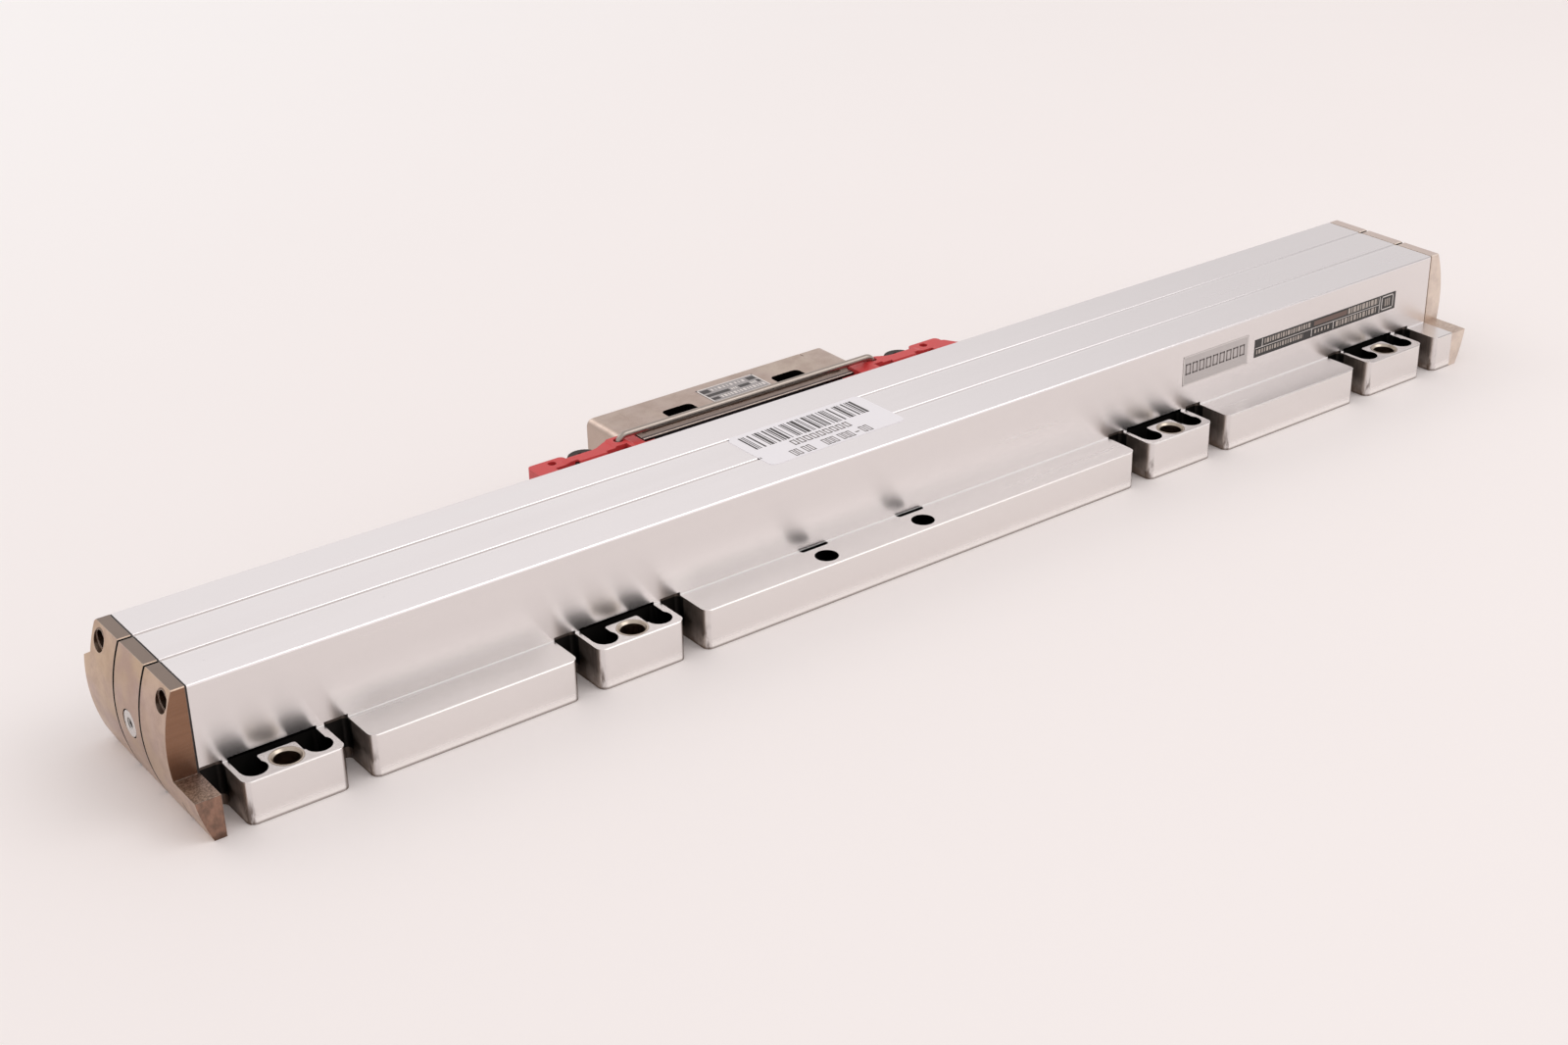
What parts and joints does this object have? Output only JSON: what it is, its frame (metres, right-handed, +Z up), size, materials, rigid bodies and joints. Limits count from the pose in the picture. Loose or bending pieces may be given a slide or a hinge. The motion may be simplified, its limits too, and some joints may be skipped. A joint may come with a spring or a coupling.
{
  "type": "linear encoder",
  "caption": "Sealed linear glass scale: aluminium profile with sprung mounting feet, end caps and a scanning unit that slides along it on a blade through sealing lips, held by a shipping brace.",
  "frame": {"origin": "on the mounting face, midway between the two fixed-point holes", "axes": "X along the travel, Y from the mounting flange towards the scanning unit, Z up from the mounting face"},
  "size_m": [0.4626, 0.085, 0.0367],
  "materials": {
    "aluminium": "clear satin anodised extrusion",
    "bush_steel": "turned steel",
    "cap_left": "nickel plated casting, warm grey-brown",
    "cap_right": "nickel plated casting, warm grey-brown",
    "gasket": "black rubber",
    "screw_zinc": "zinc plated steel",
    "anchor": "machined",
    "plug_black": "black plastic",
    "scale_glass": "glass strip with a graduation",
    "bond": "elastic adhesive",
    "lip_rubber": "black sealing lip",
    "label_white": "white film",
    "label_black": "black film",
    "label_grey": "grey film",
    "block_metal": "nickel plated casting, warm grey-brown",
    "blade_steel": "ground steel",
    "board": "green circuit board",
    "chips": "black packages",
    "connector": "gold plated connector",
    "carriage": "dark anodised",
    "pins": "ground pins",
    "roller_steel": "bearing steel",
    "lamp": "lamp body",
    "lens_glass": "clear lens",
    "rod_steel": "spring steel",
    "ribbon": "amber film lead",
    "brace_red": "red moulded plastic",
    "wire_steel": "stainless wire",
    "wheel_black": "black knurled plastic",
    "shoe": "milled"
  },
  "bodies": {
    "frame": {"housing_front": "aluminium", "housing_top": "aluminium", "housing_base": "aluminium", "housing_rear": "aluminium", "sprung_feet": "aluminium", "flange_blocks": "aluminium", "foot_bushes": "bush_steel", "end_cap_left": "cap_left", "end_cap_right": "cap_right", "end_gasket_left": "gasket", "end_gasket_right": "gasket", "cap_screws": "screw_zinc", "cap_anchors": "anchor", "air_plugs": "plug_black", "glass_scale": "scale_glass", "scale_bond": "bond", "lip_upper": "lip_rubber", "lip_lower": "lip_rubber", "top_sticker": "label_white", "rating_plate": "label_black", "side_sticker": "label_grey"},
    "scanning_unit": {"block": "block_metal", "block_end_left": "block_metal", "block_end_right": "block_metal", "rear_cover": "block_metal", "cover_screws": "screw_zinc", "blade": "blade_steel", "blade_screws": "plug_black", "circuit_board": "board", "board_chips": "chips", "cable_socket": "connector", "blanking_plug": "plug_black", "block_label": "label_grey", "carriage": "carriage", "roller_pins": "pins", "lamp": "lamp", "lens": "lens_glass", "reticle": "lens_glass", "sensor_board": "board", "coupling_rod": "rod_steel", "ribbon_lead": "ribbon", "brace_left": "brace_red", "brace_right": "brace_red", "brace_wire": "wire_steel", "clamp_shoe_left": "shoe", "clamp_shoe_right": "shoe"},
    "roller_face_a_body": {"roller_face_a": "roller_steel"},
    "roller_face_b_body": {"roller_face_b": "roller_steel"},
    "roller_face_c_body": {"roller_face_c": "roller_steel"},
    "roller_edge_a_body": {"roller_edge_a": "roller_steel"},
    "roller_edge_b_body": {"roller_edge_b": "roller_steel"},
    "thumb_screw_left_body": {"thumb_screw_left": "wheel_black"},
    "thumb_screw_right_body": {"thumb_screw_right": "wheel_black"}
  },
  "joints": [
    {"name": "scan_travel", "type": "slide", "parent": "frame", "child": "scanning_unit", "axis": [1, 0, 0], "range_m": [-0.148, 0.192]},
    {"name": "roller_face_a_spin", "type": "hinge", "parent": "scanning_unit", "child": "roller_face_a_body", "pos_m": [-0.018, 0.0202, 0.0294], "axis": [0, 1, 0], "range_deg": [-4500, 4500]},
    {"name": "roller_face_b_spin", "type": "hinge", "parent": "scanning_unit", "child": "roller_face_b_body", "pos_m": [0.018, 0.0202, 0.0294], "axis": [0, 1, 0], "range_deg": [-4500, 4500]},
    {"name": "roller_face_c_spin", "type": "hinge", "parent": "scanning_unit", "child": "roller_face_c_body", "pos_m": [0.008, 0.0256, 0.0294], "axis": [0, 1, 0], "range_deg": [-4500, 4500]},
    {"name": "roller_edge_a_spin", "type": "hinge", "parent": "scanning_unit", "child": "roller_edge_a_body", "pos_m": [-0.018, 0.0323, 0.0246], "axis": [0, 0, 1], "range_deg": [-4500, 4500]},
    {"name": "roller_edge_b_spin", "type": "hinge", "parent": "scanning_unit", "child": "roller_edge_b_body", "pos_m": [0.018, 0.0323, 0.0246], "axis": [0, 0, 1], "range_deg": [-4500, 4500]},
    {"name": "thumb_turn_left", "type": "hinge", "parent": "scanning_unit", "child": "thumb_screw_left_body", "pos_m": [-0.0579, 0.0596, 0.0316], "axis": [0, 0, 1], "range_deg": [0, 600]},
    {"name": "thumb_turn_right", "type": "hinge", "parent": "scanning_unit", "child": "thumb_screw_right_body", "pos_m": [0.0579, 0.0596, 0.0316], "axis": [0, 0, 1], "range_deg": [0, 600]}
  ],
  "couplings": [
    {"joint": "roller_face_a_spin", "follows": "scan_travel", "rad_per_m": 400},
    {"joint": "roller_face_b_spin", "follows": "scan_travel", "rad_per_m": 400},
    {"joint": "roller_face_c_spin", "follows": "scan_travel", "rad_per_m": 400},
    {"joint": "roller_edge_a_spin", "follows": "scan_travel", "rad_per_m": -400},
    {"joint": "roller_edge_b_spin", "follows": "scan_travel", "rad_per_m": -400}
  ]
}
